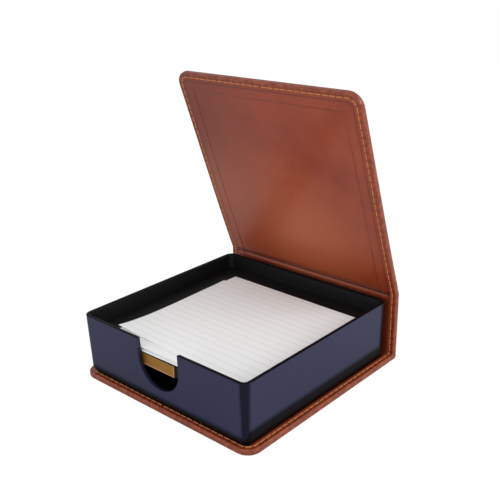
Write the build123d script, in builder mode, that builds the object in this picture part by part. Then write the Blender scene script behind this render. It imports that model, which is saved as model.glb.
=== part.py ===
from build123d import *

import os
from math import asin, cos, degrees, hypot, radians, sin

# Memo pad holder: a leather book cover whose base carries an open tray of note sheets.
# X runs to the right, Y to the back and Z up, in millimetres. The origin lies on the table,
# under the middle of the base. The front of the tray, with its thumb notch, faces -Y.

# Cover: three board-stiffened leather panels, hinged at two unstiffened creases
cover_width = 127.0
cover_depth = 130.6
cover_corner_radius = 8.0
leather_thickness = 0.8
board_thickness = 2.2
lining_thickness = 0.8
lining_inset = 1.4
outer_edge_rounding = 1.2
inner_edge_rounding = 0.5
crease_clearance = 0.3
lid_angle = 69.9
lid_rim_gap = 0.45

# Seam thread, laid flat along the free edges of each panel
stitch_inset = 2.8
thread_width = 0.6
thread_rise = 0.25

# Tray: a drafted moulding with a thin black insert, bonded to the base
tray_side_margin = 2.8
tray_front_margin = 0.8
tray_to_spine = 4.3
tray_height = 35.1
tray_wall = 1.5
tray_floor = 1.5
tray_corner_radius = 5.0
wall_lean = 0.9
foot_rounding = 3.5
rim_rounding = 0.4
liner_wall = 0.8
liner_drop = 0.4
adhesive_thickness = 0.5
adhesive_inset = 1.5

# Thumb notch in the front wall
notch_width = 30.4
notch_bottom = 9.3
notch_rounding = 2.0

# Raised shelf that carries the notes, on two rails, with a plate along its front edge
support_height = 16.5
support_width = 6.0
support_inset = 4.0
shelf_thickness = 7.1
shelf_clearance = 0.4
shelf_corner_radius = 1.7
plate_width = 26.0
plate_side_shift = -3.9
plate_thickness = 0.5
plate_border = 0.7
plate_border_rise = 0.3

# Note sheets: squares with room for fingers at the sides, lying a little askew
finger_room = 13.2
sheet_thickness = 0.2
stack_thickness = 1.2
stack_setback = 0.5
stack_turn = 0.3
lower_sheet_turn = 1.0
top_sheet_turn = -0.7

# How far the sheets have slid, as shares of the play that the shelf leaves them
stack_side_slide = 0.36
top_sheet_side_slide = 0.43
top_sheet_back_slide = 0.35

# Levels and reaches worked out from the sizes above
cover_thickness = leather_thickness + board_thickness + lining_thickness
half_cover = cover_thickness / 2
crease_thickness = leather_thickness + lining_thickness
swing_end = half_cover + crease_clearance
fixed_end = hypot(swing_end, half_cover) + crease_clearance
tray_width = cover_width - 2 * tray_side_margin
tray_depth = cover_depth - cover_thickness - tray_front_margin - tray_to_spine
tray_base = cover_thickness + adhesive_thickness
tray_rim = tray_base + tray_height
tray_y = -cover_depth / 2 + tray_front_margin + tray_depth / 2
crease_y = cover_depth / 2 - half_cover
lower_crease_z = half_cover
upper_crease_z = tray_rim + lid_rim_gap + half_cover
spine_height = upper_crease_z - lower_crease_z
base_reach = crease_y + cover_depth / 2
lid_length = base_reach
shelf_level = tray_floor + liner_wall + support_height

# Panel frames: each starts on its crease axis, with local Y along the panel and local Z inwards
base_plane = Plane(origin=(0, crease_y, lower_crease_z), x_dir=(-1, 0, 0), z_dir=(0, 0, 1))
spine_plane = Plane(origin=(0, crease_y, lower_crease_z), x_dir=(1, 0, 0), z_dir=(0, -1, 0))
lid_inward = (0, -sin(radians(lid_angle)), -cos(radians(lid_angle)))
lid_plane = Plane(origin=(0, crease_y, upper_crease_z), x_dir=(1, 0, 0), z_dir=lid_inward)


def panel_outline(near, far, inset, corner_radius):
    """Outline of a base or lid panel, drawn in from its three free edges, with two round corners."""
    with BuildSketch() as outline:
        with Locations((0, (near + far - inset) / 2)):
            Rectangle(cover_width - 2 * inset, far - inset - near)
        fillet(outline.vertices().group_by(Axis.Y)[-1], corner_radius - inset)
    return outline.sketch


def strip_outline(near, far, inset):
    """Outline of a spine panel, which runs straight on into a crease at both ends."""
    with BuildSketch() as outline:
        with Locations((0, (near + far) / 2)):
            Rectangle(cover_width - 2 * inset, far - near)
    return outline.sketch


def seam_outline(near, far, corner_radius):
    """Line of thread along the three free edges of a base or lid panel."""
    with BuildSketch() as outline:
        add(panel_outline(near, far, stitch_inset - thread_width / 2, corner_radius))
        add(panel_outline(near, far, stitch_inset + thread_width / 2, corner_radius), mode=Mode.SUBTRACT)
    return outline.sketch


def spine_seam_outline(near, far):
    """Two straight lines of thread along the short free edges of the spine."""
    with BuildSketch() as outline:
        add(strip_outline(near, far, stitch_inset - thread_width / 2))
        add(strip_outline(near, far, stitch_inset + thread_width / 2), mode=Mode.SUBTRACT)
    return outline.sketch


def free_edges(part, plane, side, ends):
    """Edges along the free sides of a panel's outer (side 0) or inner (side -1) face."""
    along = Axis(plane.origin, plane.y_dir)
    inward = Axis(plane.origin, plane.z_dir)
    edges = part.faces().filter_by(plane).sort_by(inward)[side].edges().sort_by(along)
    return edges[1:len(edges) - ends]


def wall_lean_at(height):
    """How far the drafted tray wall stands inside its rim at a height over the tray's underside."""
    return wall_lean * (1 - height / tray_height)


def tray_outline(height, inset):
    """Rounded section of the tray at a height over its underside, drawn in from its outside."""
    drawn_in = inset + wall_lean_at(height)
    with BuildSketch() as outline:
        with Locations((0, tray_y)):
            RectangleRounded(tray_width - 2 * drawn_in, tray_depth - 2 * drawn_in, tray_corner_radius - inset)
    return outline.sketch


def notch_outline():
    """U-shaped thumb notch in the plane of the front wall, flaring out round at the rim."""
    centre_z = tray_base + notch_bottom + notch_width / 2
    flare_height = 2 * notch_rounding
    flare_width = notch_width + 4 * notch_rounding
    with BuildSketch() as outline:
        with Locations((0, centre_z)):
            Circle(notch_width / 2)
        with Locations((0, (centre_z + tray_rim) / 2)):
            Rectangle(notch_width, tray_rim - centre_z)
        with Locations((0, tray_rim + flare_height / 2)):
            Rectangle(flare_width, flare_height)
        tips = outline.vertices().filter_by_position(Axis.X, -notch_width / 2, notch_width / 2)
        fillet(tips.group_by(Axis.Y)[-1], notch_rounding)
    return outline.sketch


# ---- Base panel ----

with BuildPart() as base_leather:
    with BuildSketch(base_plane.offset(-half_cover)):
        add(panel_outline(fixed_end, base_reach, 0, cover_corner_radius))
    extrude(amount=cover_thickness)
    fillet(free_edges(base_leather, base_plane, 0, 0), outer_edge_rounding)
    fillet(free_edges(base_leather, base_plane, -1, 0), inner_edge_rounding)
    with BuildSketch(base_plane.offset(-half_cover + leather_thickness)):
        add(panel_outline(fixed_end, base_reach, leather_thickness, cover_corner_radius))
    extrude(amount=board_thickness, mode=Mode.SUBTRACT)
    with BuildSketch(base_plane.offset(half_cover - lining_thickness)):
        add(panel_outline(fixed_end, base_reach, lining_inset, cover_corner_radius))
    extrude(amount=lining_thickness, mode=Mode.SUBTRACT)
    with BuildSketch(base_plane.offset(-half_cover)):
        add(seam_outline(fixed_end, base_reach, cover_corner_radius))
    extrude(amount=thread_rise, mode=Mode.SUBTRACT)

with BuildPart() as base_board:
    with BuildSketch(base_plane.offset(-half_cover + leather_thickness)):
        add(panel_outline(fixed_end, base_reach, leather_thickness, cover_corner_radius))
    extrude(amount=board_thickness)

with BuildPart() as base_lining:
    with BuildSketch(base_plane.offset(half_cover - lining_thickness)):
        add(panel_outline(fixed_end, base_reach, lining_inset, cover_corner_radius))
    extrude(amount=lining_thickness)

with BuildPart() as base_stitching:
    with BuildSketch(base_plane.offset(half_cover), base_plane.offset(-half_cover)):
        add(seam_outline(fixed_end, base_reach, cover_corner_radius))
    extrude(amount=thread_rise)

# The crease is a soft roll of leather on the hinge line, with a flat strip into the fixed panel
with BuildPart() as lower_crease:
    with BuildSketch(Plane.YZ.offset(-cover_width / 2)):
        with Locations((crease_y, lower_crease_z)):
            Circle(half_cover)
        with Locations((crease_y - fixed_end / 2, lower_crease_z)):
            Rectangle(fixed_end, crease_thickness)
    extrude(amount=cover_width)

# ---- Spine panel ----

spine_far = spine_height - fixed_end

with BuildPart() as spine_leather:
    with BuildSketch(spine_plane.offset(-half_cover)):
        add(strip_outline(swing_end, spine_far, 0))
    extrude(amount=cover_thickness)
    fillet(free_edges(spine_leather, spine_plane, 0, 1), outer_edge_rounding)
    fillet(free_edges(spine_leather, spine_plane, -1, 1), inner_edge_rounding)
    with BuildSketch(spine_plane.offset(-half_cover + leather_thickness)):
        add(strip_outline(swing_end, spine_far, leather_thickness))
    extrude(amount=board_thickness, mode=Mode.SUBTRACT)
    with BuildSketch(spine_plane.offset(half_cover - lining_thickness)):
        add(strip_outline(swing_end, spine_far, lining_inset))
    extrude(amount=lining_thickness, mode=Mode.SUBTRACT)
    with BuildSketch(spine_plane.offset(-half_cover)):
        add(spine_seam_outline(swing_end, spine_far))
    extrude(amount=thread_rise, mode=Mode.SUBTRACT)

with BuildPart() as spine_board:
    with BuildSketch(spine_plane.offset(-half_cover + leather_thickness)):
        add(strip_outline(swing_end, spine_far, leather_thickness))
    extrude(amount=board_thickness)

with BuildPart() as spine_lining:
    with BuildSketch(spine_plane.offset(half_cover - lining_thickness)):
        add(strip_outline(swing_end, spine_far, lining_inset))
    extrude(amount=lining_thickness)

with BuildPart() as spine_stitching:
    with BuildSketch(spine_plane.offset(half_cover), spine_plane.offset(-half_cover)):
        add(spine_seam_outline(swing_end, spine_far))
    extrude(amount=thread_rise)

with BuildPart() as upper_crease:
    with BuildSketch(Plane.YZ.offset(-cover_width / 2)):
        with Locations((crease_y, upper_crease_z)):
            Circle(half_cover)
        with Locations((crease_y, upper_crease_z - fixed_end / 2)):
            Rectangle(crease_thickness, fixed_end)
    extrude(amount=cover_width)

# ---- Lid panel ----

with BuildPart() as lid_leather:
    with BuildSketch(lid_plane.offset(-half_cover)):
        add(panel_outline(swing_end, lid_length, 0, cover_corner_radius))
    extrude(amount=cover_thickness)
    fillet(free_edges(lid_leather, lid_plane, 0, 0), outer_edge_rounding)
    fillet(free_edges(lid_leather, lid_plane, -1, 0), inner_edge_rounding)
    with BuildSketch(lid_plane.offset(-half_cover + leather_thickness)):
        add(panel_outline(swing_end, lid_length, leather_thickness, cover_corner_radius))
    extrude(amount=board_thickness, mode=Mode.SUBTRACT)
    with BuildSketch(lid_plane.offset(half_cover - lining_thickness)):
        add(panel_outline(swing_end, lid_length, lining_inset, cover_corner_radius))
    extrude(amount=lining_thickness, mode=Mode.SUBTRACT)
    with BuildSketch(lid_plane.offset(-half_cover)):
        add(seam_outline(swing_end, lid_length, cover_corner_radius))
    extrude(amount=thread_rise, mode=Mode.SUBTRACT)

with BuildPart() as lid_board:
    with BuildSketch(lid_plane.offset(-half_cover + leather_thickness)):
        add(panel_outline(swing_end, lid_length, leather_thickness, cover_corner_radius))
    extrude(amount=board_thickness)

with BuildPart() as lid_lining:
    with BuildSketch(lid_plane.offset(half_cover - lining_thickness)):
        add(panel_outline(swing_end, lid_length, lining_inset, cover_corner_radius))
    extrude(amount=lining_thickness)

with BuildPart() as lid_stitching:
    with BuildSketch(lid_plane.offset(half_cover), lid_plane.offset(-half_cover)):
        add(seam_outline(swing_end, lid_length, cover_corner_radius))
    extrude(amount=thread_rise)

# ---- Tray ----

with BuildPart() as tray_shell:
    for height in (0, tray_height):
        with BuildSketch(Plane.XY.offset(tray_base + height)):
            add(tray_outline(height, 0))
    loft(ruled=True)
    fillet(tray_shell.faces().sort_by(Axis.Z)[0].edges(), foot_rounding)
    fillet(tray_shell.faces().sort_by(Axis.Z)[-1].edges(), rim_rounding)
    for height in (tray_floor, tray_height):
        with BuildSketch(Plane.XY.offset(tray_base + height)):
            add(tray_outline(height, tray_wall))
    loft(ruled=True, mode=Mode.SUBTRACT)
    with BuildSketch(Plane.XZ.offset(-tray_y)):
        add(notch_outline())
    extrude(amount=tray_depth / 2 + tray_front_margin, mode=Mode.SUBTRACT)

with BuildPart() as tray_liner:
    liner_top = tray_height - liner_drop
    for height in (tray_floor, liner_top):
        with BuildSketch(Plane.XY.offset(tray_base + height)):
            add(tray_outline(height, tray_wall))
    loft(ruled=True)
    for height in (tray_floor + liner_wall, liner_top):
        with BuildSketch(Plane.XY.offset(tray_base + height)):
            add(tray_outline(height, tray_wall + liner_wall))
    loft(ruled=True, mode=Mode.SUBTRACT)
    with BuildSketch(Plane.XZ.offset(-tray_y)):
        add(notch_outline())
    extrude(amount=tray_depth / 2 + tray_front_margin, mode=Mode.SUBTRACT)

with BuildPart() as tray_adhesive:
    foot_inset = wall_lean + foot_rounding + adhesive_inset
    with BuildSketch(Plane.XY.offset(cover_thickness)):
        with Locations((0, tray_y)):
            RectangleRounded(tray_width - 2 * foot_inset, tray_depth - 2 * foot_inset, tray_corner_radius)
    extrude(amount=adhesive_thickness)

# ---- Shelf and plate ----

# The shelf stands clear of the drafted walls at its underside, where they come closest
liner_inside = tray_wall + liner_wall + wall_lean_at(shelf_level)
shelf_width = tray_width - 2 * (liner_inside + shelf_clearance)
plate_front = tray_y - tray_depth / 2 + liner_inside + shelf_clearance
shelf_front = plate_front + plate_thickness + plate_border_rise
shelf_back = tray_y + tray_depth / 2 - liner_inside - shelf_clearance
shelf_bottom = tray_base + shelf_level
shelf_top = shelf_bottom + shelf_thickness
floor_top = tray_base + tray_floor + liner_wall

with BuildPart() as shelf_supports:
    support_x = shelf_width / 2 - support_inset - support_width / 2
    support_length = shelf_back - shelf_front - 2 * support_inset
    with BuildSketch(Plane.XY.offset(floor_top)):
        with Locations((-support_x, (shelf_front + shelf_back) / 2), (support_x, (shelf_front + shelf_back) / 2)):
            Rectangle(support_width, support_length)
    extrude(amount=support_height)

with BuildPart() as note_shelf:
    with BuildSketch(Plane.XY.offset(shelf_bottom)):
        with Locations((0, (shelf_front + shelf_back) / 2)):
            RectangleRounded(shelf_width, shelf_back - shelf_front, shelf_corner_radius)
    extrude(amount=shelf_thickness)

with BuildPart() as label_plate:
    with BuildSketch(Plane.XZ.offset(-shelf_front)):
        with Locations((plate_side_shift, (shelf_bottom + shelf_top) / 2)):
            Rectangle(plate_width, shelf_thickness)
    extrude(amount=plate_thickness)
    with BuildSketch(Plane.XZ.offset(-shelf_front + plate_thickness)):
        with Locations((plate_side_shift, (shelf_bottom + shelf_top) / 2)):
            Rectangle(plate_width, shelf_thickness)
            Rectangle(plate_width - 2 * plate_border, shelf_thickness - 2 * plate_border, mode=Mode.SUBTRACT)
    extrude(amount=plate_border_rise)

# ---- Note sheets ----

sheet_size = tray_width - 2 * finger_room
side_play = (shelf_width - sheet_size) / 2
back_play = shelf_back - plate_front - stack_setback - sheet_size
stack_x = stack_side_slide * side_play
stack_y = plate_front + stack_setback + sheet_size / 2
top_sheet_x = top_sheet_side_slide * side_play
top_sheet_y = stack_y + top_sheet_back_slide * back_play

with BuildPart() as note_stack:
    with BuildSketch(Plane.XY.offset(shelf_top)):
        with Locations((stack_x, stack_y)):
            Rectangle(sheet_size, sheet_size, rotation=stack_turn)
    extrude(amount=stack_thickness)

with BuildPart() as note_sheet_lower:
    with BuildSketch(Plane.XY.offset(shelf_top + stack_thickness)):
        with Locations((stack_x, stack_y)):
            Rectangle(sheet_size, sheet_size, rotation=lower_sheet_turn)
    extrude(amount=sheet_thickness)

with BuildPart() as note_sheet_top:
    with BuildSketch(Plane.XY.offset(shelf_top + stack_thickness + sheet_thickness)):
        with Locations((top_sheet_x, top_sheet_y)):
            Rectangle(sheet_size, sheet_size, rotation=top_sheet_turn)
    extrude(amount=sheet_thickness)

# ---- Labels and files ----

base_leather.part.label = "base_leather"
base_board.part.label = "base_board"
base_lining.part.label = "base_lining"
base_stitching.part.label = "base_stitching"
lower_crease.part.label = "lower_crease"
spine_leather.part.label = "spine_leather"
spine_board.part.label = "spine_board"
spine_lining.part.label = "spine_lining"
spine_stitching.part.label = "spine_stitching"
upper_crease.part.label = "upper_crease"
lid_leather.part.label = "lid_leather"
lid_board.part.label = "lid_board"
lid_lining.part.label = "lid_lining"
lid_stitching.part.label = "lid_stitching"
tray_shell.part.label = "tray_shell"
tray_liner.part.label = "tray_liner"
tray_adhesive.part.label = "tray_adhesive"
shelf_supports.part.label = "shelf_supports"
note_shelf.part.label = "note_shelf"
label_plate.part.label = "label_plate"
note_stack.part.label = "note_stack"
note_sheet_lower.part.label = "note_sheet_lower"
note_sheet_top.part.label = "note_sheet_top"

os.makedirs("parts", exist_ok=True)
export_step(base_leather.part, "parts/base_leather.step")
export_step(base_board.part, "parts/base_board.step")
export_step(base_lining.part, "parts/base_lining.step")
export_step(base_stitching.part, "parts/base_stitching.step")
export_step(lower_crease.part, "parts/lower_crease.step")
export_step(spine_leather.part, "parts/spine_leather.step")
export_step(spine_board.part, "parts/spine_board.step")
export_step(spine_lining.part, "parts/spine_lining.step")
export_step(spine_stitching.part, "parts/spine_stitching.step")
export_step(upper_crease.part, "parts/upper_crease.step")
export_step(lid_leather.part, "parts/lid_leather.step")
export_step(lid_board.part, "parts/lid_board.step")
export_step(lid_lining.part, "parts/lid_lining.step")
export_step(lid_stitching.part, "parts/lid_stitching.step")
export_step(tray_shell.part, "parts/tray_shell.step")
export_step(tray_liner.part, "parts/tray_liner.step")
export_step(tray_adhesive.part, "parts/tray_adhesive.step")
export_step(shelf_supports.part, "parts/shelf_supports.step")
export_step(note_shelf.part, "parts/note_shelf.step")
export_step(label_plate.part, "parts/label_plate.step")
export_step(note_stack.part, "parts/note_stack.step")
export_step(note_sheet_lower.part, "parts/note_sheet_lower.step")
export_step(note_sheet_top.part, "parts/note_sheet_top.step")

# Hinge lines and the angles at which the lid meets the tray's rim and the table
drop_to_rim = degrees(asin((lid_rim_gap - thread_rise) / (crease_y + cover_depth / 2 - tray_front_margin)))
drop_to_table = degrees(asin((upper_crease_z - half_cover * cos(radians(lid_angle))) / lid_length))
print("lower crease axis y, z:", crease_y, lower_crease_z)
print("upper crease axis y, z:", crease_y, upper_crease_z)
print("lid turns to the rim by", -(lid_angle + drop_to_rim), "and to the table by", 180 - lid_angle + drop_to_table)
print("tray rim, shelf top and top of the notes:", tray_rim, shelf_top, shelf_top + stack_thickness + 2 * sheet_thickness)
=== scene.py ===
"""Memo pad holder: a leather book cover over an open tray of ruled note slips, with finishes and studio."""

import logging
import math
from abc import ABC, abstractmethod
from collections.abc import Iterator
from contextlib import contextmanager
from dataclasses import dataclass, field
from enum import Enum

import bmesh
import bpy
import numpy as np
from mathutils import Matrix, Vector

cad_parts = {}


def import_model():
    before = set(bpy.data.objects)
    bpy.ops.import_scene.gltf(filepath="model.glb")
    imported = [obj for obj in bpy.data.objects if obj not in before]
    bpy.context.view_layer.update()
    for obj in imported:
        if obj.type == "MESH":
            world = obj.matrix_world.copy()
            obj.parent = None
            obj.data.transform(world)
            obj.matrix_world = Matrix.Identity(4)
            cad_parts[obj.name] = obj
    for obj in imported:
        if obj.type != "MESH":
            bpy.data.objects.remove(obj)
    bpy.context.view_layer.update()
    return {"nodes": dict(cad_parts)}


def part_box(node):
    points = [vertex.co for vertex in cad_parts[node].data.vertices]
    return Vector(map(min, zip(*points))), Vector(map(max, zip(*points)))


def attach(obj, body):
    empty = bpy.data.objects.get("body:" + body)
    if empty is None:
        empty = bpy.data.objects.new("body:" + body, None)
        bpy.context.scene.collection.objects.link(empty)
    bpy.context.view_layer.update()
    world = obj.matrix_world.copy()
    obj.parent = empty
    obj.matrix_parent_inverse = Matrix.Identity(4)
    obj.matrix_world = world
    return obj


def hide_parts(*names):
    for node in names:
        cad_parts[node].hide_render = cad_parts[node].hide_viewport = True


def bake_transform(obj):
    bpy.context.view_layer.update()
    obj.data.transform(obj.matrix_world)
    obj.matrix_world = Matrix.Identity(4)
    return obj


Material = bpy.types.Material
Mesh = bpy.types.Mesh
Node = bpy.types.Node
Piece = bpy.types.Object
Tree = bpy.types.NodeTree
Pair = tuple[float, float]
Place = tuple[float, float, float]

LOG = logging.getLogger("memo_pad_holder")
MM = 0.001
WELD = 1e-6
SHARP = math.radians(35)
WHITE = (1.0, 1.0, 1.0, 1.0)


class Face(Enum):
    """The two faces of the cover: the one that shuts over the tray, and the one outside."""

    INNER = "inner"
    OUTER = "outer"


class Half(Enum):
    """The two halves of the cover's skin, which meet in the middle of the spine."""

    LOWER = "lower"
    UPPER = "upper"


def linear(hex_colour: str) -> tuple[float, float, float, float]:
    """Turns an sRGB hex colour into the linear colour that a shader takes.

    Args:
        hex_colour: six hex digits, red first.

    Returns:
        Red, green, blue and an alpha of 1.
    """
    channels = [int(hex_colour[i : i + 2], 16) / 255 for i in (0, 2, 4)]
    flat = [c / 12.92 if c <= 0.04045 else ((c + 0.055) / 1.055) ** 2.4 for c in channels]
    return flat[0], flat[1], flat[2], 1.0


def add_node(tree: Tree, kind: str, settings: dict | None = None, inputs: dict | None = None) -> Node:
    """Adds a node, sets its properties, and fills its inputs with values or links.

    Args:
        tree: the node tree that gets the node.
        kind: the node's type name.
        settings: property names and values.
        inputs: input names or numbers, each with a value, an output that feeds it, or a node whose first
            live output feeds it.

    Returns:
        The new node.
    """
    node = tree.nodes.new(kind)
    for name, value in (settings or {}).items():
        setattr(node, name, value)
    for key, value in (inputs or {}).items():
        if isinstance(value, Node):
            value = next(socket for socket in value.outputs if socket.enabled)
        if isinstance(value, bpy.types.NodeSocket):
            tree.links.new(value, node.inputs[key])
        else:
            node.inputs[key].default_value = value
    return node


def new_shader(name: str) -> tuple[Material, Tree]:
    """Makes an empty material with a node tree.

    Args:
        name: what the real material and its finish are called.

    Returns:
        The material and its tree.
    """
    material = bpy.data.materials.new(name)
    material.use_nodes = True
    material.node_tree.nodes.clear()
    return material, material.node_tree


def new_geometry_tree(name: str, inputs: dict[str, str], output: str) -> tuple[Tree, bpy.types.NodeOutputs]:
    """Makes a Geometry Nodes tree with named inputs and one geometry output.

    Args:
        name: the tree's name.
        inputs: the names of its inputs and their kinds, such as Int or Material.
        output: the name of its output.

    Returns:
        The tree, and its inputs as outputs that feed its nodes.
    """
    tree = bpy.data.node_groups.new(name, "GeometryNodeTree")
    for label, kind in inputs.items():
        tree.interface.new_socket(label, in_out="INPUT", socket_type=f"NodeSocket{kind}")
    tree.interface.new_socket(output, in_out="OUTPUT", socket_type="NodeSocketGeometry")
    return tree, add_node(tree, "NodeGroupInput").outputs


def dress(piece: Piece, material: Material) -> None:
    """Gives a piece one finish, in place of any that it has."""
    piece.data.materials.clear()
    piece.data.materials.append(material)


def new_piece(name: str, mesh: Mesh, material: Material) -> Piece:
    """Links a mesh into the scene as one dressed piece.

    Args:
        name: the piece's name.
        mesh: its mesh, in the row frame.
        material: its finish.

    Returns:
        The new object, at the origin.
    """
    piece = bpy.data.objects.new(name, mesh)
    bpy.context.scene.collection.objects.link(piece)
    dress(piece, material)
    return piece


def settle(piece: Piece) -> None:
    """Turns a piece's live modifiers into its plain mesh, and takes them off.

    Args:
        piece: the object to settle.
    """
    bpy.context.view_layer.update()
    evaluated = piece.evaluated_get(bpy.context.evaluated_depsgraph_get())
    mesh = bpy.data.meshes.new_from_object(evaluated)
    piece.modifiers.clear()
    piece.data = mesh


def grow(piece: Piece, tree: Tree, values: dict) -> None:
    """Runs a piece through a Geometry Nodes tree, and settles the result.

    Args:
        piece: the object, whose mesh the tree takes.
        tree: the node tree.
        values: what the tree's inputs get, by their names.
    """
    modifier = piece.modifiers.new(tree.name, "NODES")
    modifier.node_group = tree
    for item in tree.interface.items_tree:
        if item.item_type == "SOCKET" and item.in_out == "INPUT" and item.name in values:
            modifier[item.identifier] = values[item.name]
    settle(piece)


def stand_in(piece: Piece, slot: str, body: str, *nodes: str) -> None:
    """Puts a rigid piece in the place of CAD nodes.

    Args:
        piece: the finished piece.
        slot: the name of a material slot; not used.
        body: the body that it moves with.
        nodes: the CAD nodes that it stands for.
    """
    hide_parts(*nodes)
    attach(piece, body)


@contextmanager
def editing(mesh: Mesh) -> Iterator[bmesh.types.BMesh]:
    """Opens a mesh for editing, and writes it back at the end.

    Args:
        mesh: the mesh.

    Yields:
        The mesh in its editable form.
    """
    open_mesh = bmesh.new()
    open_mesh.from_mesh(mesh)
    yield open_mesh
    open_mesh.to_mesh(mesh)
    open_mesh.free()


def closed_sheet(name: str, under: np.ndarray, over: np.ndarray) -> Mesh:
    """Builds a closed sheet from two grids of points with the same rows and columns.

    Args:
        name: the mesh's name.
        under: the places of its under side, as rows by columns by three, in metres.
        over: the places of its upper side.

    Returns:
        The mesh, with a row of faces round its rim.
    """
    rows, columns = under.shape[:2]
    count = rows * columns
    low = np.arange(count).reshape(rows, columns)
    high = low + count
    rim = np.concatenate([low[0, :], low[1:, -1], low[-1, -2::-1], low[-2:0:-1, 0]])
    after = np.roll(rim, -1)
    faces = [
        np.stack([low[:-1, :-1], low[1:, :-1], low[1:, 1:], low[:-1, 1:]], axis=-1).reshape(-1, 4),
        np.stack([high[:-1, :-1], high[:-1, 1:], high[1:, 1:], high[1:, :-1]], axis=-1).reshape(-1, 4),
        np.stack([rim, after, after + count, rim + count], axis=-1),
    ]
    mesh = bpy.data.meshes.new(name)
    places = np.concatenate([under, over]).reshape(-1, 3)
    mesh.from_pydata(places.tolist(), [], np.concatenate(faces).tolist())
    mesh.update()
    return mesh


def smooth_copy(node: Piece, name: str, material: Material) -> Piece:
    """Copies a CAD solid with its loose triangles joined, so that its rounded edges shade smoothly.

    Args:
        node: the CAD node.
        name: the new piece's name.
        material: its finish.

    Returns:
        The new piece.
    """
    mesh = node.data.copy()
    with editing(mesh) as solid:
        bmesh.ops.remove_doubles(solid, verts=solid.verts, dist=WELD)
    for attribute in ("custom_normal", "sharp_edge", "sharp_face"):
        if attribute in mesh.attributes:
            mesh.attributes.remove(mesh.attributes[attribute])
    mesh.shade_smooth()
    mesh.set_sharp_from_angle(angle=SHARP)
    piece = new_piece(name, mesh, material)
    weigh = piece.modifiers.new("even_faces", "WEIGHTED_NORMAL")
    weigh.keep_sharp = True
    settle(piece)
    return piece


def ramp(distance: np.ndarray, edge: Pair) -> np.ndarray:
    """Fades from 0 to 1 over a soft edge.

    Args:
        distance: how far in each point lies.
        edge: where the soft edge starts, and its width.

    Returns:
        The share of each point, from 0 to 1.
    """
    return np.clip((distance - edge[0]) / edge[1], 0, 1)


# ---- Finishes ----


class Finish(ABC):
    """A finish of one real material, which fills the inputs of its one shader."""

    name: str

    @abstractmethod
    def look(self, tree: Tree) -> dict:
        """Builds the nodes of the finish.

        Args:
            tree: the material's tree, which gets the nodes.

        Returns:
            The shader's inputs by name.
        """

    def material(self) -> Material:
        """Makes the material, with one shader on its surface.

        Returns:
            The material.
        """
        material, tree = new_shader(self.name)
        shader = add_node(tree, "ShaderNodeBsdfPrincipled", inputs=self.look(tree))
        add_node(tree, "ShaderNodeOutputMaterial", inputs={"Surface": shader})
        return material


@dataclass(frozen=True)
class PaintedLightPatch:
    """A soft round patch of another tone, used to paint pools of light, reflection and shade: its colour,
    its middle on the open cover and its reach, in mm.
    """

    colour: str
    middle: Place
    reach: float

    def mask(self, tree: Tree, where: bpy.types.NodeSocket) -> Node:
        """Builds the patch's mask.

        Args:
            tree: the leather's tree.
            where: the place on the open cover.

        Returns:
            A node that gives 1 in the middle and 0 past its reach.
        """
        middle = tuple(v * MM for v in self.middle)
        away = add_node(tree, "ShaderNodeVectorMath", {"operation": "DISTANCE"}, {0: where, 1: middle})
        fade = {"Value": away, "From Max": self.reach * MM, "To Min": 1.0, "To Max": 0.0}
        return add_node(tree, "ShaderNodeMapRange", {"interpolation_type": "SMOOTHSTEP"}, fade)


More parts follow.
